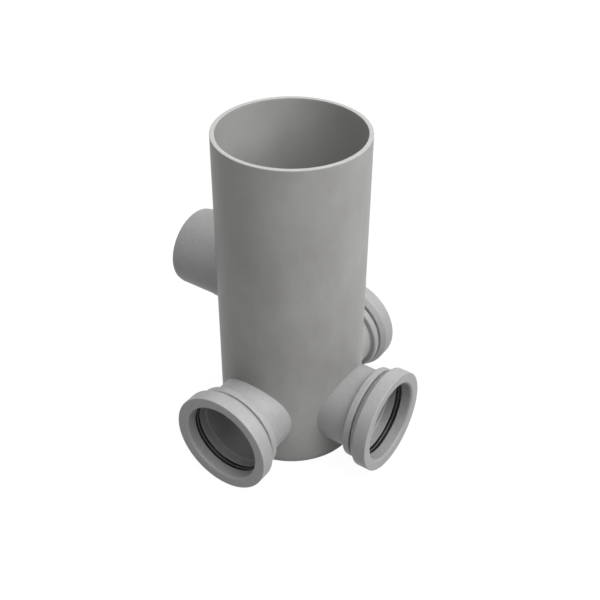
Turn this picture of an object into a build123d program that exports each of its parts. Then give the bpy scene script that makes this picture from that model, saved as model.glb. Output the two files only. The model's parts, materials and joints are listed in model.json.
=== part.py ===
from build123d import *
import math
import os

# Drain pit in grey unplasticised PVC: an open riser pipe with a closed bottom, three rubber-ring
# sockets low down at 90 degrees to each other, and one plain spigot higher up.
# Origin: centre of the base plate's underside. +Z is up the riser. -Y is the front socket,
# +X the right one, +Y the back one, and the spigot leaves along -X. Sizes are in millimetres.

# Riser pipe and its bottom
RISER_OD = 200.0
RISER_WALL = 5.9
PIT_HEIGHT = 466.0
BASE_THICKNESS = 6.0
BASE_INSET = 1.5

# The pipes that the branches take
PIPE_OD = 110.0
PIPE_WALL = 3.2
PIPE_CLEARANCE = 0.4

# Where the branches sit: the low caps just clear the ground, the spigot enters higher up
GROUND_GAP = 1.0
SPIGOT_RISE = 166.5
SPIGOT_LENGTH = 64.0
SPIGOT_CHAMFER_LENGTH = 5.0
SPIGOT_CHAMFER_DEPTH = 1.2
ROOT_THICKENING = 0.8
ROOT_LENGTH = 2.0
END_SETBACK = 1.0

# Socket body, with lengths along the branch
NECK_THICKENING = 2.0
NECK_LENGTH = 27.0
SHOULDER_LENGTH = 11.0
SHOULDER_HEIGHT = 8.5
SHOULDER_CHAMFER = 3.0
STOP_THICKNESS = 4.0
SEAT_DEPTH = 11.0
RIM_WALL = 2.0
BEAD_HEIGHT = 1.5
BEAD_LENGTH = 2.5

# Snap cap
GROOVE_WIDTH = 3.0
CAP_LENGTH = 26.5
CAP_BAND = 17.5
CAP_CHAMFER_LENGTH = 7.0
CAP_CHAMFER_DEPTH = 6.0
MOUTH_FLARE = 0.6
SNAP_CLEARANCE = 0.3

# Seal ring
RING_WIDTH = 9.0
RING_HEIGHT = 3.3
LIP_DEPTH = 1.8
LIP_GAP = 0.2

# Worked out from the sizes above
RISER_RADIUS = RISER_OD / 2
RISER_BORE = RISER_RADIUS - RISER_WALL
COPE_RADIUS = RISER_BORE + END_SETBACK
PIPE_RADIUS = PIPE_OD / 2
PIPE_BORE = PIPE_RADIUS - PIPE_WALL
ROOT_RADIUS = PIPE_RADIUS + ROOT_THICKENING
NECK_RADIUS = PIPE_RADIUS + NECK_THICKENING
SEAT_RADIUS = PIPE_RADIUS + PIPE_CLEARANCE
LIP_RADIUS = SEAT_RADIUS - LIP_GAP
RING_RADIUS = LIP_RADIUS + RING_HEIGHT
GROOVE_RADIUS = RING_RADIUS + RIM_WALL
BEAD_RADIUS = GROOVE_RADIUS + BEAD_HEIGHT
SHOULDER_RADIUS = NECK_RADIUS + SHOULDER_HEIGHT
MOUTH_RADIUS = SEAT_RADIUS + LIP_GAP * 2
CAP_RADIUS = PIPE_RADIUS + CAP_BAND
LOW_AXIS = CAP_RADIUS + GROUND_GAP
HIGH_AXIS = LOW_AXIS + SPIGOT_RISE

# Stations along a branch, from the riser's axis
SHOULDER_BACK = RISER_RADIUS + NECK_LENGTH
SHOULDER_FRONT = SHOULDER_BACK + SHOULDER_LENGTH
STOP_FACE = SHOULDER_BACK + STOP_THICKNESS
RING_BACK = STOP_FACE + SEAT_DEPTH
RING_FRONT = RING_BACK + RING_WIDTH
RIM_FRONT = RING_FRONT - SNAP_CLEARANCE
BEAD_BACK = RIM_FRONT - BEAD_LENGTH
CAP_BACK = SHOULDER_FRONT + GROOVE_WIDTH
CAP_FACE = CAP_BACK + CAP_LENGTH
SPIGOT_END = RISER_RADIUS + SPIGOT_LENGTH

# Each low socket's name and the direction that it faces
SOCKETS = {"front": (0, -1, 0), "right": (1, 0, 0), "back": (0, 1, 0)}
SPIGOT_DIRECTION = (-1, 0, 0)


def turned(section):
    """Turn a section of (radius, station) points about the Z axis."""
    outline = Polyline(*[(radius, 0, station) for radius, station in section], close=True)
    return revolve(make_face(outline), Axis.Z)


def along_branch(solid, direction, height):
    """Carry a solid that was made along +Z out along a branch at its height on the riser."""
    return Plane(origin=(0, 0, height), z_dir=direction).location * solid


def bore_core():
    """The upright cylinder that every branch is coped back to, just behind the riser's bore."""
    return Cylinder(COPE_RADIUS, PIT_HEIGHT * 2, align=(Align.CENTER, Align.CENTER, Align.CENTER))


def coped_start(radius):
    """A station inside the riser's bore, so that the cope trims the whole end of a branch."""
    return math.sqrt(COPE_RADIUS**2 - radius**2) / 2


def branch_hole(radius, direction, height):
    """The round hole that a branch passes through in the riser's wall."""
    hole = Cylinder(radius, RISER_OD, align=(Align.CENTER, Align.CENTER, Align.MIN))
    return along_branch(hole, direction, height)


def make_riser():
    """Plain pipe, open at the top, with four branch holes."""
    pipe = turned([
        (RISER_BORE, BASE_THICKNESS),
        (RISER_RADIUS, BASE_THICKNESS),
        (RISER_RADIUS, PIT_HEIGHT),
        (RISER_BORE, PIT_HEIGHT),
    ])
    for direction in SOCKETS.values():
        pipe -= branch_hole(NECK_RADIUS, direction, LOW_AXIS)
    return pipe - branch_hole(ROOT_RADIUS, SPIGOT_DIRECTION, HIGH_AXIS)


def make_base():
    """Flat disc welded under the riser, its edge a little inside the pipe's outer wall."""
    return Cylinder(RISER_RADIUS - BASE_INSET, BASE_THICKNESS, align=(Align.CENTER, Align.CENTER, Align.MIN))


def make_socket_body():
    """Neck, shoulder, pipe stop, pipe seat and the rim whose barbed bead holds the cap."""
    return turned([
        (PIPE_BORE, coped_start(NECK_RADIUS)),
        (NECK_RADIUS, coped_start(NECK_RADIUS)),
        (NECK_RADIUS, SHOULDER_BACK),
        (SHOULDER_RADIUS - SHOULDER_CHAMFER, SHOULDER_BACK),
        (SHOULDER_RADIUS, SHOULDER_BACK + SHOULDER_CHAMFER),
        (SHOULDER_RADIUS, SHOULDER_FRONT),
        (GROOVE_RADIUS, SHOULDER_FRONT),
        (GROOVE_RADIUS, BEAD_BACK),
        (BEAD_RADIUS, BEAD_BACK),
        (GROOVE_RADIUS, RIM_FRONT),
        (RING_RADIUS, RIM_FRONT),
        (RING_RADIUS, RING_BACK),
        (SEAT_RADIUS, RING_BACK),
        (SEAT_RADIUS, STOP_FACE),
        (PIPE_BORE, STOP_FACE),
    ])


def make_socket_cap():
    """Snap cap: a lip that sits behind the bead, a recess over it and a coned mouth."""
    lip_radius = GROOVE_RADIUS + SNAP_CLEARANCE
    recess_radius = BEAD_RADIUS + SNAP_CLEARANCE
    recess_back = BEAD_BACK - SNAP_CLEARANCE
    return turned([
        (lip_radius, CAP_BACK),
        (CAP_RADIUS - CAP_CHAMFER_DEPTH, CAP_BACK),
        (CAP_RADIUS, CAP_BACK + CAP_CHAMFER_LENGTH),
        (CAP_RADIUS, CAP_FACE),
        (MOUTH_RADIUS + MOUTH_FLARE, CAP_FACE),
        (MOUTH_RADIUS, RING_FRONT),
        (recess_radius, RING_FRONT),
        (recess_radius, recess_back),
        (lip_radius, recess_back),
    ])


def make_seal_ring():
    """Rubber ring with two lips and a valley between, drawn as a seated pipe presses them."""
    return turned([
        (RING_RADIUS, RING_BACK),
        (LIP_RADIUS, RING_BACK),
        (LIP_RADIUS + LIP_DEPTH, (RING_BACK + RING_FRONT) / 2),
        (LIP_RADIUS, RING_FRONT),
        (RING_RADIUS, RING_FRONT),
    ])


def make_spigot():
    """Plain pipe end with a lead chamfer and a slightly thicker root in the riser's wall."""
    root_end = RISER_RADIUS + ROOT_LENGTH
    return turned([
        (PIPE_BORE, coped_start(ROOT_RADIUS)),
        (ROOT_RADIUS, coped_start(ROOT_RADIUS)),
        (ROOT_RADIUS, root_end),
        (PIPE_RADIUS, root_end),
        (PIPE_RADIUS, SPIGOT_END - SPIGOT_CHAMFER_LENGTH),
        (PIPE_RADIUS - SPIGOT_CHAMFER_DEPTH, SPIGOT_END),
        (PIPE_BORE, SPIGOT_END),
    ])


nodes = {"riser_pipe": make_riser(), "base_plate": make_base()}
for side, direction in SOCKETS.items():
    body = along_branch(make_socket_body(), direction, LOW_AXIS)
    nodes[f"{side}_socket_body"] = body - bore_core()
    nodes[f"{side}_socket_cap"] = along_branch(make_socket_cap(), direction, LOW_AXIS)
    nodes[f"{side}_seal_ring"] = along_branch(make_seal_ring(), direction, LOW_AXIS)
nodes["inlet_spigot"] = along_branch(make_spigot(), SPIGOT_DIRECTION, HIGH_AXIS) - bore_core()

os.makedirs("parts", exist_ok=True)
for name, shape in nodes.items():
    export_step(shape, f"parts/{name}.step")
    print(name, round(shape.volume), "mm3")
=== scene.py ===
# %% [markdown]
# A drain pit in grey PVC. It is a length of thick drain pipe stood on end and closed at the bottom,
# with three rubber-ring sockets let into its wall low down and one plain spigot higher up.
# The construction is already settled in a fixed frame: this lesson dresses it. Every piece but the
# flat base plate is worked out again as a smooth surface of many small faces, so that its rounds
# catch the light as moulded plastic does, and each finish is built from nodes.

# %% Load the frame
import json
import math
import bmesh
import bpy
import numpy as np
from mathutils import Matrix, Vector


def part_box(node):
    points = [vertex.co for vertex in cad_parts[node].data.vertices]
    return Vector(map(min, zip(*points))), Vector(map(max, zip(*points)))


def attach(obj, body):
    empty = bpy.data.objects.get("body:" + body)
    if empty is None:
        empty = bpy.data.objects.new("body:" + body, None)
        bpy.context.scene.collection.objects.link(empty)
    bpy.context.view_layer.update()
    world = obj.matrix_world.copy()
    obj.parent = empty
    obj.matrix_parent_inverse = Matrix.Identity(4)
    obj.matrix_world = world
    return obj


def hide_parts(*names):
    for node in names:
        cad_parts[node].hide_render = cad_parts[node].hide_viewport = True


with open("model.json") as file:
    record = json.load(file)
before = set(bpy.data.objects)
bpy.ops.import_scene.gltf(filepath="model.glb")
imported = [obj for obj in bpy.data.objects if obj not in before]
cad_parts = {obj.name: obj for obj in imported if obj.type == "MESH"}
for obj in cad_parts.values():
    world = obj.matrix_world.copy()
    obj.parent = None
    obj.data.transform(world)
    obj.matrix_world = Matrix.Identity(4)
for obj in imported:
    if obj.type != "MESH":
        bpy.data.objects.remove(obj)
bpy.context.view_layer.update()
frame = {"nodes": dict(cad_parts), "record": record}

# %% [markdown]
# The sizes come first. What the frame can tell is read from it: the bores and the spigot are stated
# as mounts, and a node's box gives its outside.

# %% Sizes read from the frame
MM = 0.001
mounts = {mount["name"]: mount for mount in frame["record"]["mounts"]}
riser_bore = mounts["riser_bore"]["dims"]["r_mm"] * MM
seat_radius = mounts["right_socket"]["dims"]["r_mm"] * MM
seat_length = mounts["right_socket"]["dims"]["length_mm"] * MM
pipe_radius = mounts["spigot"]["dims"]["r_mm"] * MM
low_axis = mounts["right_socket"]["pos_m"][2]
high_axis = mounts["spigot"]["pos_m"][2]

riser_low, riser_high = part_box("riser_pipe")
riser_radius = riser_high.x
riser_foot, riser_top = riser_low.z, riser_high.z
body_low, body_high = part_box("right_socket_body")
cap_low, cap_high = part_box("right_socket_cap")
ring_low, ring_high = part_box("right_seal_ring")
spigot_low, spigot_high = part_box("inlet_spigot")
print("riser", round(riser_radius / MM, 1), "mm radius, top at", round(riser_top / MM, 1), "mm")

# %% [markdown]
# A socket is a chain of short steps, each with its own reason. The pipe that is pushed in needs a
# seat, a stop and a ring, and the cap needs a bead to snap over. A mould maker would call the steps
# the shoulder, the groove, the bead and the lips. They are named here in millimetres and turned into
# metres once. The chain starts from what the frame tells, and each station follows from the last.

# %% Sizes of the steps along a socket
PIPE_WALL = 3.2 * MM
NECK_THICKENING = 2.0 * MM
STOP_THICKNESS = 4.0 * MM
SHOULDER_LENGTH = 11.0 * MM
RIM_WALL = 2.0 * MM
BEAD_HEIGHT = 1.5 * MM
BEAD_LENGTH = 2.5 * MM
SNAP_GAP = 0.3 * MM
END_SETBACK = 1.0 * MM
LIP_GAP = 0.2 * MM
ROOT_LENGTH = 2.0 * MM

shoulder_radius = (body_high.z - body_low.z) / 2
cap_radius = (cap_high.z - cap_low.z) / 2
ring_radius = (ring_high.z - ring_low.z) / 2
root_radius = (spigot_high.z - spigot_low.z) / 2
cap_back, cap_face = cap_low.x, cap_high.x
ring_back, ring_front = ring_low.x, ring_high.x
rim_front = body_high.x
stop_face = ring_back - seat_length
spigot_end = -spigot_low.x

pipe_bore = pipe_radius - PIPE_WALL
neck_radius = pipe_radius + NECK_THICKENING
shoulder_back = stop_face - STOP_THICKNESS
shoulder_front = shoulder_back + SHOULDER_LENGTH
groove_radius = ring_radius + RIM_WALL
bead_radius = groove_radius + BEAD_HEIGHT
bead_back = rim_front - BEAD_LENGTH
cope_radius = riser_bore + END_SETBACK
lip_radius = seat_radius - LIP_GAP
root_end = riser_radius + ROOT_LENGTH
SOCKETS = {"front": (0, -1, 0), "right": (1, 0, 0), "back": (0, 1, 0)}
SPIGOT_DIRECTION = (-1, 0, 0)
print("cap radius", round(cap_radius / MM, 1), "mm, neck radius", round(neck_radius / MM, 1), "mm")

# %% [markdown]
# No edge on a moulded or sawn plastic piece is truly sharp. A profile is therefore written as a list
# of corners, each with its radius and station and the size of its round, and one helper turns the
# corners into arcs. It also sets a support point just beside each arc. Without it the soft shading of
# the arc would bleed along the whole straight wall, and a straight pipe would look swollen.

# %% Profile helper
ARC_STEPS = 7
SUPPORT = 0.35 * MM
# Rounds from this size up to SOFT get a pale edge: partly wear, partly a painted highlight.
SMALLEST_PALE_ROUND = 1.2 * MM
SOFT = 3.5 * MM


def rounded(corners):
    """Closed outline from (radius, station, round) corners.

    A round is the arc that touches both sides of its corner. Its centre lies on the line that halves
    the corner, and its points turn evenly from one touching point to the other. Returns the points,
    as (radius, station), and for each point how pale its edge is painted, partly as wear and partly
    as
    a painted highlight along the round: 1 in the middle of an outer round and 0 on the straight
    sides, on the small rounds inside a socket, which nothing reaches, and on a round too soft to show
    it.
    """
    spots, edge_paleness = [], []
    place = np.array([corner[:2] for corner in corners], float)
    for index, (_, _, size) in enumerate(corners):
        corner = place[index]
        back = place[index - 1] - corner
        ahead = place[(index + 1) % len(corners)] - corner
        back, ahead = back / np.linalg.norm(back), ahead / np.linalg.norm(ahead)
        half = math.acos(np.clip(back @ ahead, -1, 1)) / 2
        reach = size / math.tan(half)
        middle = corner + (back + ahead) / np.linalg.norm(back + ahead) * size / math.sin(half)
        start, end = corner + back * reach - middle, corner + ahead * reach - middle
        turn = math.pi - 2 * half
        share = np.linspace(0, 1, ARC_STEPS)[:, None]
        sweep = np.sin((1 - share) * turn) * start + np.sin(share * turn) * end
        arc = middle + sweep / math.sin(turn)
        spots += [corner + back * (reach + SUPPORT), *arc, corner + ahead * (reach + SUPPORT)]
        # The pale edge value: partly wear, partly a painted highlight, strongest in the middle of the
        # round.
        edge_paleness += [0.0, *np.sin(share[:, 0] * math.pi) * (SMALLEST_PALE_ROUND <= size <= SOFT), 0.0]
    return np.array(spots), np.array(edge_paleness)


print("an arc has", ARC_STEPS, "points")

# %% [markdown]
# Two mesh helpers follow. The first makes a mesh of four-sided faces and paints values on its points
# that the finishes read later: edge is 1 along an edge painted pale, as wear and as a painted
# highlight, cut is 1 where the pipe was sawn, bore is 1 inside the pipe, and valley is 1 between the
# two lips of a seal ring. It also joins points that fall together, because an empty face between them
# would spoil the soft shading. The second helper lists the faces of a grid that closes on itself.

# %% Mesh helpers
SHARP = math.radians(50)
JOIN = 0.02 * MM


def new_piece(name, points, faces, **painted):
    """A mesh object at the origin from arrays of points and four-sided faces, with painted values."""
    mesh = bpy.data.meshes.new(name)
    mesh.from_pydata(points.tolist(), [], faces.tolist())
    for title, values in painted.items():
        layer = mesh.attributes.new(title, "FLOAT", "POINT")
        layer.data.foreach_set("value", values)
    shape = bmesh.new()
    shape.from_mesh(mesh)
    bmesh.ops.remove_doubles(shape, verts=shape.verts, dist=JOIN)
    bmesh.ops.recalc_face_normals(shape, faces=shape.faces)
    shape.to_mesh(mesh)
    shape.free()
    mesh.shade_smooth()
    mesh.set_sharp_from_angle(angle=SHARP)
    piece = bpy.data.objects.new(name, mesh)
    bpy.context.scene.collection.objects.link(piece)
    return piece


def around(rows, columns, close_rows=True):
    """Faces between neighbouring rows of a grid whose columns run round and meet themselves."""
    bands = rows if close_rows else rows - 1
    row, column = np.meshgrid(np.arange(bands), np.arange(columns), indexing="ij")
    here, below = row * columns, (row + 1) % rows * columns
    right = (column + 1) % columns
    corners = [here + column, here + right, below + right, below + column]
    return np.stack(corners, -1).reshape(-1, 4)


print("faces of a small grid of 3 rows and 4 columns:", len(around(3, 4)))

# %% [markdown]
# Sockets and the spigot are round, so each is a profile turned about the axis of its branch. A neck
# has to end just behind the riser's bore, and that end isn't a circle but a saddle: the start of
# each line along the neck is moved out to where it leaves an upright cylinder.

# %% Turned pieces
SEGMENTS = 168


def turned(name, corners, direction, height, cope=0.0, valley=None):
    """A profile turned about a branch's axis.

    At turn t a point of the profile lies its radius times cosine t above the axis and its radius
    times sine t beside it, and its station out along the branch. With a cope the station is never
    less than the square root of the cope's radius squared less the sideways distance squared, which
    is where a line along the branch leaves an upright cylinder of that radius.
    """
    outline, edge_paleness = rounded(corners)
    turn = np.linspace(0, 2 * math.pi, SEGMENTS, endpoint=False)
    sideways = outline[:, :1] * np.sin(turn)
    up = outline[:, :1] * np.cos(turn)
    station = np.broadcast_to(outline[:, 1:], sideways.shape)
    station = np.maximum(station, np.sqrt(np.maximum(cope**2 - sideways**2, 0)))
    along = np.array(direction, float)
    across = np.cross(along, (0, 0, 1))
    points = station[..., None] * along + sideways[..., None] * across
    points[..., 2] += up + height
    painted = {"edge": np.repeat(edge_paleness, SEGMENTS)}
    if valley is not None:
        painted["valley"] = np.repeat(valley(*outline.T), SEGMENTS)
    return new_piece(name, points.reshape(-1, 3), around(len(outline), SEGMENTS), **painted)


print("a turned piece has", SEGMENTS, "lines round it")

# %% [markdown]
# The riser is a pipe wall with four round holes. A boolean cut would leave long slivers that shade
# badly on a curved wall. Here the wall is laid out as a patchwork instead, in three bands of four
# quarter-turn panels. A plain panel is an even grid. A panel with a hole is a fan of rings that
# change, step by step, from the hole's circle to the panel's rectangle, so that every face stays
# four-sided and every point lies exactly on the pipe.

# %% Riser wall
PANEL_STEPS = 42
RING_STEPS = 12
QUARTERS = (0, 90, 180, 270)
RIM_ROUND = 0.9 * MM
halfway = (low_axis + high_axis) / 2
band_heights = (riser_foot, halfway, 2 * high_axis - halfway, riser_top - RIM_ROUND)
LOW_HOLES = {0: neck_radius, 90: neck_radius, 270: neck_radius}
HIGH_HOLES = {180: root_radius}


def panel_border():
    """Points round a square from -1 to 1, in order, with PANEL_STEPS on each side."""
    run = np.linspace(-1, 1, PANEL_STEPS, endpoint=False)
    one = np.ones(PANEL_STEPS)
    sides = [(run, -one), (one, run), (-run, one), (-one, -run)]
    return np.concatenate([np.stack(side, -1) for side in sides])


def on_wall(radius, angle, height):
    """Points on an upright cylinder from an angle about its axis and a height."""
    height = np.broadcast_to(height, angle.shape)
    return np.stack([radius * np.cos(angle), radius * np.sin(angle), height], -1)


def plain_panel(radius, quarter, low, high):
    """An even grid over a quarter turn of the pipe."""
    angle = math.radians(quarter) + np.linspace(-math.pi / 4, math.pi / 4, PANEL_STEPS + 1)
    height = np.linspace(low, high, PANEL_STEPS + 1)
    angle, height = np.meshgrid(angle, height)
    size = PANEL_STEPS + 1
    row, column = np.meshgrid(np.arange(PANEL_STEPS), np.arange(PANEL_STEPS), indexing="ij")
    first = row * size + column
    faces = np.stack([first, first + 1, first + size + 1, first + size], -1).reshape(-1, 4)
    return on_wall(radius, angle, height).reshape(-1, 3), faces


print("a panel is", PANEL_STEPS, "faces wide and high")

# %% [markdown]
# Where a branch enters, the pipe was cut with a round saw along the branch's axis. On the pipe's
# wall that circle is no longer flat, so its points are worked out on the inner and on the outer
# wall, and a short strip joins the two.

# %% Holes in the riser
def hole_ring(radius, quarter, hole, hole_height):
    """The hole's edge on the wall, as angle and height.

    A point's sideways reach, divided by the pipe's radius, is the sine of its angle.
    """
    border = panel_border()
    turn = np.arctan2(border[:, 1], border[:, 0])
    angle = math.radians(quarter) + np.arcsin(hole * np.cos(turn) / radius)
    return np.stack([angle, hole_height + hole * np.sin(turn)], -1)


def holed_panel(radius, quarter, low, high, hole, hole_height):
    """Rings that pass evenly, in angle and height, from the hole's edge to the panel's border."""
    border = panel_border()
    angle = math.radians(quarter) + border[:, 0] * math.pi / 4
    outer = np.stack([angle, low + (border[:, 1] + 1) / 2 * (high - low)], -1)
    inner = hole_ring(radius, quarter, hole, hole_height)
    share = np.linspace(0, 1, RING_STEPS)[:, None, None]
    flat = inner * (1 - share) + outer * share
    points = on_wall(radius, flat[..., 0], flat[..., 1]).reshape(-1, 3)
    return points, around(RING_STEPS, len(border), close_rows=False)


def hole_wall(quarter, hole, hole_height):
    """The short round wall of a hole, from the bore's edge straight out to the outer edge."""
    rings = []
    for radius in (riser_bore, riser_radius):
        angle, height = hole_ring(radius, quarter, hole, hole_height).T
        rings.append(on_wall(radius, angle, height))
    return np.concatenate(rings), around(2, len(rings[0]), close_rows=False)


print("riser wall:", len(LOW_HOLES) + len(HIGH_HOLES), "holes in", len(band_heights) - 1, "bands")

# %% [markdown]
# The top is sawn and its edges are broken with a scraper, so the rim gets a small round on both
# sides of a flat. The foot is left plain, because it stands on the base plate.

# %% Riser rim and foot
def rim_profile():
    """Over the rim from the outside to the bore: a quarter round, a flat and a quarter round."""
    bend = np.linspace(0, math.pi / 2, ARC_STEPS)
    across, up = RIM_ROUND * np.cos(bend), RIM_ROUND * np.sin(bend)
    outer_centre, inner_centre = riser_radius - RIM_ROUND, riser_bore + RIM_ROUND
    outer = np.stack([outer_centre + across, up], -1)
    inner = np.stack([inner_centre - across, up], -1)
    flat = np.array([[outer_centre - SUPPORT, RIM_ROUND], [inner_centre + SUPPORT, RIM_ROUND]])
    return np.concatenate([outer, flat, inner[::-1]]) + (0, riser_top - RIM_ROUND)


def ring_strip(profile):
    """A strip all the way round, on the same lines as the panels above and below it."""
    turn = np.arange(4 * PANEL_STEPS) * (math.pi / 2 / PANEL_STEPS) - math.pi / 4
    rows = [on_wall(radius, turn, height) for radius, height in profile]
    return np.concatenate(rows), around(len(rows), len(turn), close_rows=False)


print("rim profile:", len(rim_profile()), "points")

# %% [markdown]
# Now the blocks become one mesh. The inner points are painted as bore and the rim's as cut, so that
# the finish can paint the inside a little paler, as painted bounce light, and make the rim look sawn.

# %% Build the riser
def build_riser():
    """All panels, hole walls, the rim and the foot, joined where their border points meet."""
    blocks = []
    for radius in (riser_radius, riser_bore):
        for level, (low, high) in enumerate(zip(band_heights, band_heights[1:])):
            holes = (LOW_HOLES, HIGH_HOLES, {})[level]
            centre = (low_axis, high_axis, 0)[level]
            for quarter in QUARTERS:
                if quarter in holes:
                    blocks.append(holed_panel(radius, quarter, low, high, holes[quarter], centre))
                else:
                    blocks.append(plain_panel(radius, quarter, low, high))
    blocks += [hole_wall(quarter, hole, low_axis) for quarter, hole in LOW_HOLES.items()]
    blocks += [hole_wall(quarter, hole, high_axis) for quarter, hole in HIGH_HOLES.items()]
    blocks.append(ring_strip([(riser_radius, riser_foot), (riser_bore, riser_foot)]))
    rim = rim_profile()
    sawn = np.ones(len(rim))
    sawn[[0, -1]] = 0
    cut = [np.zeros(sum(len(points) for points, _ in blocks)), np.repeat(sawn, 4 * PANEL_STEPS)]
    blocks.append(ring_strip(rim))
    starts = np.cumsum([0] + [len(points) for points, _ in blocks[:-1]])
    faces = np.concatenate([part + start for (_, part), start in zip(blocks, starts)])
    points = np.concatenate([part for part, _ in blocks])
    # Bore points: the finish paints them paler, as painted bounce light inside the pipe.
    inside = (np.hypot(points[:, 0], points[:, 1]) < riser_bore + JOIN).astype(float)
    return new_piece("riser_wall", points, faces, cut=np.concatenate(cut), bore=inside)


riser = build_riser()
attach(riser, "root")
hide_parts("riser_pipe")
print("riser:", len(riser.data.vertices), "points")

# %% [markdown]
# Each socket is three pieces. The moulded body has a plain neck, a shoulder with rounded edges, a
# stop for the pipe and a thin rim with a bead. The cap snaps over the bead, and the dark groove
# behind it is the gap that the snap needs. The seal ring sits between them. All three are turned
# profiles, so one function per piece serves the three sides of the pit.
# The body comes first. Its outer corners are generous, as a mould's are, and the groove in front of
# the shoulder is filled with a fillet, so that it reads as a soft trough with a thin dark line.

# %% Socket body
EDGE_ROUND = 0.5 * MM
FINE_ROUND = EDGE_ROUND / 2
CRISP = 0.005 * MM
GROOVE_FILLET = 2.4 * MM
NECK_ROUND = 1.0 * MM
SHOULDER_BACK_ROUND = 3.0 * MM
SHOULDER_FRONT_ROUND = 2.4 * MM
STOP_ROUND = 1.0 * MM


def socket_body_corners():
    """From the coped end along the neck, over the shoulder and rim, and back down the seat."""
    return [
        (pipe_bore, 0.0, CRISP),
        (neck_radius, 0.0, CRISP),
        (neck_radius, shoulder_back, NECK_ROUND),
        (shoulder_radius, shoulder_back, SHOULDER_BACK_ROUND),
        (shoulder_radius, shoulder_front, SHOULDER_FRONT_ROUND),
        (groove_radius, shoulder_front, GROOVE_FILLET),
        (groove_radius, bead_back, FINE_ROUND),
        (bead_radius, bead_back, FINE_ROUND),
        (groove_radius, rim_front, FINE_ROUND),
        (ring_radius, rim_front, FINE_ROUND),
        (ring_radius, ring_back, FINE_ROUND),
        (seat_radius, ring_back, EDGE_ROUND),
        (seat_radius, stop_face, EDGE_ROUND),
        (pipe_bore, stop_face, STOP_ROUND),
    ]


print("body profile:", len(socket_body_corners()), "corners")

# %% [markdown]
# The cap is a ring with a lip that snaps behind the bead. Its back is chamfered, its face is flat,
# and its mouth has a large soft round that leads the pipe in.

# %% Snap cap
CAP_CHAMFER_DEPTH = 6.0 * MM
CAP_CHAMFER_LENGTH = 7.0 * MM
CAP_BACK_ROUND = 2.4 * MM
CAP_BAND_ROUND = 2.5 * MM
CAP_FACE_ROUND = 1.3 * MM
MOUTH_CLEARANCE = 0.4 * MM
MOUTH_FLARE = 0.6 * MM
MOUTH_ROUND = 4.0 * MM


def socket_cap_corners():
    """Back lip, outside, face, coned mouth, shoulder on the ring and the recess for the bead."""
    mouth = seat_radius + MOUTH_CLEARANCE
    recess_back = bead_back - SNAP_GAP
    return [
        (groove_radius + SNAP_GAP, cap_back, EDGE_ROUND),
        (cap_radius - CAP_CHAMFER_DEPTH, cap_back, CAP_BACK_ROUND),
        (cap_radius, cap_back + CAP_CHAMFER_LENGTH, CAP_BAND_ROUND),
        (cap_radius, cap_face, CAP_FACE_ROUND),
        (mouth + MOUTH_FLARE, cap_face, MOUTH_ROUND),
        (mouth, ring_front, FINE_ROUND),
        (bead_radius + SNAP_GAP, ring_front, FINE_ROUND),
        (bead_radius + SNAP_GAP, recess_back, FINE_ROUND),
        (groove_radius + SNAP_GAP, recess_back, FINE_ROUND),
    ]


print("cap profile:", len(socket_cap_corners()), "corners")

# %% [markdown]
# The ring is moulded rubber, fixed between body and cap. It is drawn as a seated pipe presses it:
# two round lips that just touch the pipe, and a valley between them, which the finish paints grey as
# a painted highlight.

# %% Seal ring
VALLEY = 1.8 * MM
LIP_ROUND = 1.3 * MM
VALLEY_ROUND = LIP_ROUND / 2
RING_BACK_ROUND = 0.2 * MM
ring_middle = (ring_back + ring_front) / 2


def seal_ring_corners():
    """A flat back on the chamber's wall and two round lips with a valley between them."""
    return [
        (ring_radius, ring_back, RING_BACK_ROUND),
        (lip_radius, ring_back, LIP_ROUND),
        (lip_radius, ring_middle - LIP_ROUND, LIP_ROUND),
        (lip_radius + VALLEY, ring_middle, VALLEY_ROUND),
        (lip_radius, ring_middle + LIP_ROUND, LIP_ROUND),
        (lip_radius, ring_front, LIP_ROUND),
        (ring_radius, ring_front, RING_BACK_ROUND),
    ]


def valley_depth(radius, station):
    """How deep a point lies between the lips: 0 on them and 1 on the valley's floor."""
    between = np.abs(station - ring_middle) < VALLEY
    return np.clip((radius - lip_radius) / VALLEY, 0, 1) * between


print("ring profile:", len(seal_ring_corners()), "corners")

# %% [markdown]
# With the three profiles ready, each socket is turned about its own branch. Every piece takes the
# place of its CAD node and goes in a list of its kind, and each list gets its finish later.

# %% Build the three sockets
bodies, caps, rings = [], [], []
for side, direction in SOCKETS.items():
    body = turned(f"{side}_socket", socket_body_corners(), direction, low_axis, cope_radius)
    cap = turned(f"{side}_cap", socket_cap_corners(), direction, low_axis)
    ring = turned(f"{side}_ring", seal_ring_corners(), direction, low_axis, valley=valley_depth)
    for piece, node, slot, group in (
        (body, f"{side}_socket_body", "fitting_pvc", bodies),
        (cap, f"{side}_socket_cap", "fitting_pvc", caps),
        (ring, f"{side}_seal_ring", "seal_rubber", rings),
    ):
        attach(piece, "root")
        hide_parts(node)
        group.append(piece)
print("sockets:", [piece.name for piece in bodies])

# %% [markdown]
# The spigot is the simplest piece: a plain pipe end with a lead chamfer, so that it slides into
# another fitting's ring, and a root that is a little thicker where it passes through the wall.

# %% Spigot
LEAD_LENGTH = 5.0 * MM
LEAD_DEPTH = 1.2 * MM
LEAD_ROUND = 1.5 * MM
ROOT_ROUND = 0.3 * MM
spigot = turned(
    "spigot_wall",
    [
        (pipe_bore, 0.0, CRISP),
        (root_radius, 0.0, CRISP),
        (root_radius, root_end, ROOT_ROUND),
        (pipe_radius, root_end, ROOT_ROUND),
        (pipe_radius, spigot_end - LEAD_LENGTH, LEAD_ROUND),
        (pipe_radius - LEAD_DEPTH, spigot_end, EDGE_ROUND),
        (pipe_bore, spigot_end, EDGE_ROUND),
    ],
    SPIGOT_DIRECTION,
    high_axis,
    cope=cope_radius,
)
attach(spigot, "root")
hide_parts("inlet_spigot")
print("spigot reaches", round(spigot_end / MM, 1), "mm from the riser's axis")

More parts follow.
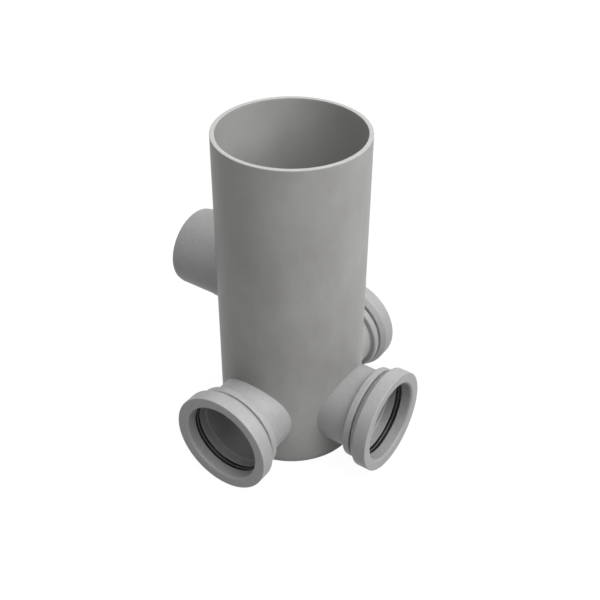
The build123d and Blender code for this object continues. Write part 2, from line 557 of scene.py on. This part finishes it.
# %% [markdown]
# Now the finishes. A material in Blender is a small network of nodes, and a few helpers keep such a
# network readable. One makes a node group with named sockets and one adds any node. The others add
# what comes up again and again: noise, a sum, a change of range, a blend of two colours, a stretch
# of the coordinates, and a value that was painted on a piece.

# %% Node helpers
FLOAT, COLOUR, VECTOR = "NodeSocketFloat", "NodeSocketColor", "NodeSocketVector"
FIRST_VECTOR, SECOND_VECTOR, MIXED_VECTOR = 4, 5, 1
FIRST_COLOUR, SECOND_COLOUR, MIXED_COLOUR = 6, 7, 2


def new_group(name, inputs, outputs):
    """A shader node group with named sockets. Returns its tree and its input and output nodes."""
    tree = bpy.data.node_groups.new(name, "ShaderNodeTree")
    for title, kind, default in inputs:
        socket = tree.interface.new_socket(name=title, in_out="INPUT", socket_type=kind)
        if default is not None:
            socket.default_value = default
    for title, kind in outputs:
        tree.interface.new_socket(name=title, in_out="OUTPUT", socket_type=kind)
    return tree, tree.nodes.new("NodeGroupInput"), tree.nodes.new("NodeGroupOutput")


def add(tree, kind, links=(), **values):
    """A node with its settings, and its inputs linked by name or number or set to a value."""
    node = tree.nodes.new(kind)
    for title, value in values.items():
        setattr(node, title, value)
    for socket, source in links:
        if isinstance(source, bpy.types.NodeSocket):
            tree.links.new(source, node.inputs[socket])
        else:
            node.inputs[socket].default_value = source
    return node


def noise(tree, place, scale, detail, roughness=0.5):
    """Soft noise, from 0 to 1 and mostly about the middle."""
    links = [("Vector", place), ("Scale", scale), ("Detail", detail), ("Roughness", roughness)]
    return add(tree, "ShaderNodeTexNoise", links).outputs["Fac"]


def calculate(tree, operation, *values, clamp=False):
    """The result of one sum on two or three values."""
    links = list(enumerate(values))
    return add(tree, "ShaderNodeMath", links, operation=operation, use_clamp=clamp).outputs[0]


def rescale(tree, value, old=(0.0, 1.0), new=(0.0, 1.0)):
    """A value carried from one range to another and kept within it."""
    links = [("From Min", old[0]), ("From Max", old[1]), ("To Min", new[0]), ("To Max", new[1])]
    return add(tree, "ShaderNodeMapRange", [("Value", value), *links]).outputs["Result"]


def blend(tree, factor, first, second):
    """The first colour where the factor is 0, the second where it is 1."""
    links = [("Factor", factor), (FIRST_COLOUR, first), (SECOND_COLOUR, second)]
    return add(tree, "ShaderNodeMix", links, data_type="RGBA").outputs[MIXED_COLOUR]


def stretch(tree, place, scale):
    """Coordinates multiplied by a number along each axis."""
    return add(tree, "ShaderNodeMapping", [("Vector", place), ("Scale", scale)]).outputs["Vector"]


def painted_value(tree, title):
    """A value that was painted on a piece's points, or 0 where the piece has none."""
    return add(tree, "ShaderNodeAttribute", attribute_name=title).outputs["Fac"]


print("node helpers ready for", bpy.app.version_string)

# %% [markdown]
# Several finishes need the same effects, so these are node groups, made once. A group only gives
# out colours and values. The shader itself stays in each material.
# The first effect is a soft mottle, as pigment never mixes quite evenly. A fine noise is added to a
# broad one, and their sum picks a colour between a dark and a light one. How fine and how strong
# the small clouds are is left to each finish.

# %% Mottle group
NOISE_MIDDLE = 0.5
CLOUD_RANGE = (0.275, 0.725)
FINE_SIZE = 4.7
FINE_STRENGTH = 0.35


def make_mottle():
    """Cloudy colour: broad clouds and finer ones are added, and the sum picks the colour."""
    inputs = [
        ("Vector", VECTOR, None),
        ("Size", FLOAT, 9.0),
        ("Fine Size", FLOAT, FINE_SIZE),
        ("Fine", FLOAT, FINE_STRENGTH),
        ("Dark", COLOUR, (0.2, 0.2, 0.2, 1)),
        ("Light", COLOUR, (0.3, 0.3, 0.3, 1)),
    ]
    outputs = [("Colour", COLOUR), ("Value", FLOAT)]
    tree, source, result = new_group("pigment mottle", inputs, outputs)
    given = source.outputs
    broad = noise(tree, given["Vector"], given["Size"], detail=3.0, roughness=0.45)
    fine_size = calculate(tree, "MULTIPLY", given["Size"], given["Fine Size"])
    fine = noise(tree, given["Vector"], fine_size, detail=4.0, roughness=0.6)
    centred = calculate(tree, "SUBTRACT", fine, NOISE_MIDDLE)
    clouds = calculate(tree, "MULTIPLY_ADD", centred, given["Fine"], broad)
    value = rescale(tree, clouds, old=CLOUD_RANGE)
    colour = blend(tree, value, given["Dark"], given["Light"])
    tree.links.new(colour, result.inputs["Colour"])
    tree.links.new(value, result.inputs["Value"])
    return tree


mottle = make_mottle()
print("group:", mottle.name)

# %% [markdown]
# The second effect is the fine skin that a mould or a die leaves. It is a height for the bump: an
# even grain, and lines along one direction, which are a noise on stretched coordinates.

# %% Skin group
def make_skin():
    """Height of a fine skin: an even grain, and lines from a noise on stretched coordinates."""
    inputs = [
        ("Vector", VECTOR, None),
        ("Grain", FLOAT, 900.0),
        ("Lines", FLOAT, 0.0),
        ("Stretched", VECTOR, None),
    ]
    tree, source, result = new_group("plastic skin", inputs, [("Height", FLOAT)])
    given = source.outputs
    grain = noise(tree, given["Vector"], given["Grain"], detail=2.0)
    lines = noise(tree, given["Stretched"], 1.0, detail=3.0, roughness=0.6)
    weighted = calculate(tree, "MULTIPLY", lines, given["Lines"])
    height = calculate(tree, "ADD", grain, weighted)
    tree.links.new(height, result.inputs["Height"])
    return tree


skin = make_skin()
print("group:", skin.name)

# %% [markdown]
# The third effect is pale edges, partly wear and partly a painted highlight. Outer edges rub against
# other fittings in the store and on the truck and turn paler, and the pale line that light leaves
# along a round is painted here as colour too. Neither is even, so the painted edge value is broken up
# by a coarse noise.

# %% Pale edge group: wear and painted highlight
PALE_EDGE_SIZE = 60.0
PALE_EDGE_BREAK = (0.38, 0.62)
PALE_EDGE_STRENGTH = (0.35, 1.0)


def make_wear_and_highlight_edge():
    """Where the painted edge value is high and a coarse noise agrees, the edge is painted pale, as
    wear and as a painted highlight.
    """
    inputs = [("Vector", VECTOR, None), ("Edge", FLOAT, 0.0), ("Size", FLOAT, PALE_EDGE_SIZE)]
    tree, source, result = new_group("wear and highlight edge", inputs, [("Mask", FLOAT)])
    given = source.outputs
    patches = noise(tree, given["Vector"], given["Size"], detail=3.0)
    broken = rescale(tree, patches, old=PALE_EDGE_BREAK, new=PALE_EDGE_STRENGTH)
    mask = calculate(tree, "MULTIPLY", given["Edge"], broken, clamp=True)
    tree.links.new(mask, result.inputs["Mask"])
    return tree


wear_and_highlight_edge = make_wear_and_highlight_edge()
print("group:", wear_and_highlight_edge.name)

# %% [markdown]
# PVC is grey right through, so one function can make the finish of the pipe and of the fittings.
# Its colour is the mottle, paler on edges, as wear and as a painted highlight, on a sawn face, and in
# the bore, where the paler colour is painted bounce light. A sawn face is also rougher, and its fine
# marks run across it instead of along the pipe. The clouds are a little longer than they are wide,
# because plastic is drawn out as it leaves the die.

# %% PVC finish
CLOUD_SCALE = (14.0, 14.0, 8.0)
DRAW_LINES = (420.0, 420.0, 5.0)
SAW_MARKS = (12.0, 1300.0, 1300.0)
# How far edges are painted pale, as wear and as a painted highlight.
WEAR_AND_HIGHLIGHT_PALE = 0.45
# How much paler the bore is painted, as painted bounce light.
BORE_PAINTED_BOUNCE = 0.6
SAWN_ROUGHER = 0.22
ROUGHNESS_SPREAD = (-0.05, 0.07)
SKIN_STRENGTH = 0.22
SKIN_DEPTH = 0.25 * MM
PVC_IOR = 1.5
PVC_SHINE = 0.42


def pvc(name, dark, light, pale, speckle, lines, grain, roughness):
    """Grey PVC: mottled, pale on edges as wear and painted highlight, on sawn faces, and in the bore
    as painted bounce light, with a fine skin as bump.
    """
    material = bpy.data.materials.new(name)
    material.use_nodes = True
    tree = material.node_tree
    shader = tree.nodes["Principled BSDF"]
    place = add(tree, "ShaderNodeTexCoord").outputs["Object"]
    edge, cut, bore = (painted_value(tree, title) for title in ("edge", "cut", "bore"))

    links = [("Vector", stretch(tree, place, CLOUD_SCALE)), ("Size", 1.0)]
    links += [("Fine Size", speckle[0]), ("Fine", speckle[1])]
    links += [("Dark", (*dark, 1)), ("Light", (*light, 1))]
    cloud = add(tree, "ShaderNodeGroup", links, node_tree=mottle).outputs
    links = [("Vector", place), ("Edge", edge)]
    wear_and_highlight = add(tree, "ShaderNodeGroup", links, node_tree=wear_and_highlight_edge).outputs["Mask"]
    # The bore is painted paler: painted bounce light inside the pipe.
    inner = calculate(tree, "MULTIPLY_ADD", bore, BORE_PAINTED_BOUNCE, cut)
    # Pale edges: partly wear, partly a painted highlight along the rounds.
    paler = calculate(tree, "MULTIPLY_ADD", wear_and_highlight, WEAR_AND_HIGHLIGHT_PALE, inner, clamp=True)
    colour = blend(tree, paler, cloud["Colour"], (*pale, 1))
    tree.links.new(colour, shader.inputs["Base Color"])

    spread = [roughness + step for step in ROUGHNESS_SPREAD]
    dulled = rescale(tree, cloud["Value"], new=spread)
    rougher = calculate(tree, "MULTIPLY_ADD", cut, SAWN_ROUGHER, dulled, clamp=True)
    tree.links.new(rougher, shader.inputs["Roughness"])

    drawn, sawn = stretch(tree, place, DRAW_LINES), stretch(tree, place, SAW_MARKS)
    links = [("Factor", cut), (FIRST_VECTOR, drawn), (SECOND_VECTOR, sawn)]
    marks = add(tree, "ShaderNodeMix", links, data_type="VECTOR").outputs[MIXED_VECTOR]
    links = [("Vector", place), ("Stretched", marks), ("Grain", grain), ("Lines", lines)]
    height = add(tree, "ShaderNodeGroup", links, node_tree=skin).outputs["Height"]
    links = [("Height", height), ("Strength", SKIN_STRENGTH), ("Distance", SKIN_DEPTH)]
    bump = add(tree, "ShaderNodeBump", links)
    tree.links.new(bump.outputs["Normal"], shader.inputs["Normal"])
    shader.inputs["IOR"].default_value = PVC_IOR
    shader.inputs["Specular IOR Level"].default_value = PVC_SHINE
    return material


print("draw lines are", DRAW_LINES[0] / DRAW_LINES[2], "times as long as wide")

# %% [markdown]
# Extruded pipe has faint lines along its length, from the die. The moulded fittings are smoother and
# finely speckled, have no draw lines, and their pale edges, partly wear and partly a painted
# highlight, stand out more.

# %% The two greys
pipe_grey = pvc(
    "extruded pipe grey",
    dark=(0.252, 0.248, 0.239),
    light=(0.322, 0.321, 0.312),
    pale=(0.328, 0.326, 0.319),
    speckle=(FINE_SIZE, FINE_STRENGTH),
    lines=0.8,
    grain=700.0,
    roughness=0.5,
)
fitting_grey = pvc(
    "moulded fitting grey",
    dark=(0.28, 0.28, 0.281),
    light=(0.336, 0.337, 0.338),
    pale=(0.40, 0.403, 0.408),
    speckle=(15.0, 0.7),
    lines=0.0,
    grain=1100.0,
    roughness=0.47,
)
print("finishes:", pipe_grey.name, "and", fitting_grey.name)

# %% [markdown]
# The seal ring is almost black rubber, sold with lubricant on it. The lubricant leaves the lips
# smooth but only faintly shiny. The valley between them is painted grey, a painted highlight where
# light catches between the lips. The valley is read from its painted value, because no pattern could
# find so narrow a place.

# %% Rubber finish
RUBBER_DARK = (0.006, 0.006, 0.006, 1)
RUBBER_LIGHT = (0.013, 0.013, 0.013, 1)
# Painted highlight: the grey painted in the valley between the lips.
VALLEY_HIGHLIGHT = (0.24, 0.24, 0.235, 1)
VALLEY_HIGHLIGHT_RANGE = (0.45, 0.8)
SMEAR_SIZE = 60.0
SMEAR_ROUGHNESS = (0.12, 0.3)
RUBBER_GRAIN = 1500.0
GRAIN_STRENGTH = 0.15
GRAIN_DEPTH = 0.2 * MM
RUBBER_IOR = 1.52
RUBBER_SHINE = 0.22


def seal_rubber():
    """Black rubber with a smeared faint shine and a fine grain, and a grey painted highlight in the
    valley.
    """
    material = bpy.data.materials.new("lubricated seal rubber, painted valley highlight")
    material.use_nodes = True
    tree = material.node_tree
    shader = tree.nodes["Principled BSDF"]
    place = add(tree, "ShaderNodeTexCoord").outputs["Object"]
    links = [("Vector", place), ("Size", SMEAR_SIZE), ("Dark", RUBBER_DARK), ("Light", RUBBER_LIGHT)]
    cloud = add(tree, "ShaderNodeGroup", links, node_tree=mottle).outputs
    # The valley is painted grey: a painted highlight between the lips.
    valley_highlight = rescale(tree, painted_value(tree, "valley"), old=VALLEY_HIGHLIGHT_RANGE)
    colour = blend(tree, valley_highlight, cloud["Colour"], VALLEY_HIGHLIGHT)
    tree.links.new(colour, shader.inputs["Base Color"])
    smear = rescale(tree, cloud["Value"], new=SMEAR_ROUGHNESS)
    tree.links.new(smear, shader.inputs["Roughness"])
    grain = noise(tree, place, RUBBER_GRAIN, detail=2.0)
    links = [("Height", grain), ("Strength", GRAIN_STRENGTH), ("Distance", GRAIN_DEPTH)]
    bump = add(tree, "ShaderNodeBump", links)
    tree.links.new(bump.outputs["Normal"], shader.inputs["Normal"])
    shader.inputs["IOR"].default_value = RUBBER_IOR
    shader.inputs["Specular IOR Level"].default_value = RUBBER_SHINE
    return material


rubber = seal_rubber()
print("finish:", rubber.name)

# %% [markdown]
# Each piece now gets its finish. The base plate keeps the mesh that came with the frame, and wears
# the grey of the pipe that it is welded to.

# %% Put the finishes on
for piece in [riser, frame["nodes"]["base_plate"]]:
    piece.data.materials.clear()
    piece.data.materials.append(pipe_grey)
for piece in bodies + caps + [spigot]:
    piece.data.materials.append(fitting_grey)
for piece in rings:
    piece.data.materials.append(rubber)
print("rubber on", len(rings), "rings")

# %% [markdown]
# The pit stands on a plain floor. The photograph has a pure white ground, so in the picture the
# floor glows with a plain white of its own, for the rays that come from the camera, a reflection or
# a clear pane. Mixed with it is a real matt surface that takes the soft shadow under the pit. All
# other rays meet that surface alone. It is a mid grey, so that little light is thrown back up.

# %% Floor
FLOOR_HALF = 6.0
FLOOR_DROP = 0.2 * MM
FLOOR_GREY = (0.35, 0.35, 0.35, 1)
FLOOR_ROUGHNESS = 0.9
WHITE = (1, 1, 1, 1)
GLOW_SHARE = 0.86
GLOW = 1.12
reach = np.array([(-1, -1, 0), (1, -1, 0), (1, 1, 0), (-1, 1, 0)], float) * FLOOR_HALF
reach[:, 2] = -FLOOR_DROP
floor = new_piece("floor", reach, np.array([[0, 1, 2, 3]]))


def picture_rays(tree):
    """1 for rays from the camera, a reflection or a clear pane, and 0 for all others."""
    seen = add(tree, "ShaderNodeLightPath").outputs
    direct = calculate(tree, "MAXIMUM", seen["Is Camera Ray"], seen["Is Glossy Ray"])
    return calculate(tree, "MAXIMUM", direct, seen["Is Transmission Ray"])


def floor_white():
    """A matt grey floor, and for the picture a mix of that with plain white."""
    material = bpy.data.materials.new("studio floor")
    material.use_nodes = True
    tree = material.node_tree
    matt = tree.nodes["Principled BSDF"]
    matt.inputs["Base Color"].default_value = FLOOR_GREY
    matt.inputs["Roughness"].default_value = FLOOR_ROUGHNESS
    matt.inputs["Specular IOR Level"].default_value = 0.0
    glow = add(tree, "ShaderNodeEmission", [("Color", WHITE), ("Strength", GLOW)])
    share = calculate(tree, "MULTIPLY", picture_rays(tree), GLOW_SHARE)
    mix = add(tree, "ShaderNodeMixShader", [(0, share), (1, matt.outputs[0]), (2, glow.outputs[0])])
    tree.links.new(mix.outputs[0], tree.nodes["Material Output"].inputs["Surface"])
    return material


floor.data.materials.append(floor_white())
print("floor", FLOOR_HALF * 2, "m square")

# %% [markdown]
# The light in the photograph comes from above and from the right: the rim and the tops of the caps
# are palest, the right of the riser is mid grey and its left is darker. Four soft square lamps give
# this. A large one on the right is the main light and a weaker one stands high in front. A small
# one, overhead and to the left, lifts the rim, the tops of the caps and the spigot, and a weak one
# behind keeps the far side open.

# %% Lamps
MIDDLE = (0.0, 0.0, 0.2)
LAMPS = {
    "key": ((1.83, 0.16, 2.04), 2.4, 84.0),
    "front": ((0.61, -1.06, 2.5), 2.4, 25.0),
    "overhead": ((-0.62, 0.09, 2.72), 1.4, 31.0),
    "back": ((-0.86, 1.85, 1.8), 2.0, 17.0),
}


def soft_lamp(name, place, size, power):
    """A square lamp at a place in metres, turned to face the middle of the pit."""
    lamp = bpy.data.lights.new(name, "AREA")
    lamp.shape = "SQUARE"
    lamp.size = size
    lamp.energy = power
    holder = bpy.data.objects.new(name, lamp)
    holder.location = place
    holder.rotation_euler = (Vector(MIDDLE) - Vector(place)).to_track_quat("-Z", "Y").to_euler()
    bpy.context.scene.collection.objects.link(holder)


for name, (place, size, power) in LAMPS.items():
    soft_lamp(name, place, size, power)
print("lamps:", ", ".join(LAMPS))

# %% [markdown]
# The sky fills the shadows evenly. In the picture it is white, as the floor nearly is, so that a
# low view shows hardly any horizon, and as a light it is dim.

# %% Sky
SKY_LIGHT = 0.09
SKY_WHITE = 1.0
world = bpy.data.worlds.new("even sky")
bpy.context.scene.world = world
world.use_nodes = True
sky_tree = world.node_tree
strength = rescale(sky_tree, picture_rays(sky_tree), new=(SKY_LIGHT, SKY_WHITE))
sky = sky_tree.nodes["Background"]
sky.inputs["Color"].default_value = WHITE
sky_tree.links.new(strength, sky.inputs["Strength"])
print("sky:", SKY_WHITE, "in the picture,", SKY_LIGHT, "as a light")

# %% [markdown]
# The camera looks down at the pit from the front right, as in the photograph: far enough away that
# the riser narrows only a little towards its foot. The numbers are the view's own: how far round,
# how far up, how far off, the length of the lens, and a small shift that frames the pit.

# %% Camera
AZIMUTH = math.radians(34.8)
ELEVATION = math.radians(35.8)
DISTANCE = 1.30
LENS = 57.6
SENSOR = 36.0
SHIFT = (0.014, -0.022)
middle = Vector((0.0, 0.0, riser_top / 2))
camera_data = bpy.data.cameras.new("camera")
camera_data.lens = LENS
camera_data.sensor_width = SENSOR
camera_data.shift_x, camera_data.shift_y = SHIFT
camera = bpy.data.objects.new("camera", camera_data)
backwards = Vector((
    math.sin(AZIMUTH) * math.cos(ELEVATION),
    -math.cos(AZIMUTH) * math.cos(ELEVATION),
    math.sin(ELEVATION),
))
camera.location = middle + backwards * DISTANCE
camera.rotation_euler = (-backwards).to_track_quat("-Z", "Y").to_euler()
bpy.context.scene.collection.objects.link(camera)
bpy.context.scene.camera = camera
bpy.context.scene.view_settings.view_transform = "Standard"
print("camera", DISTANCE, "m from the pit")
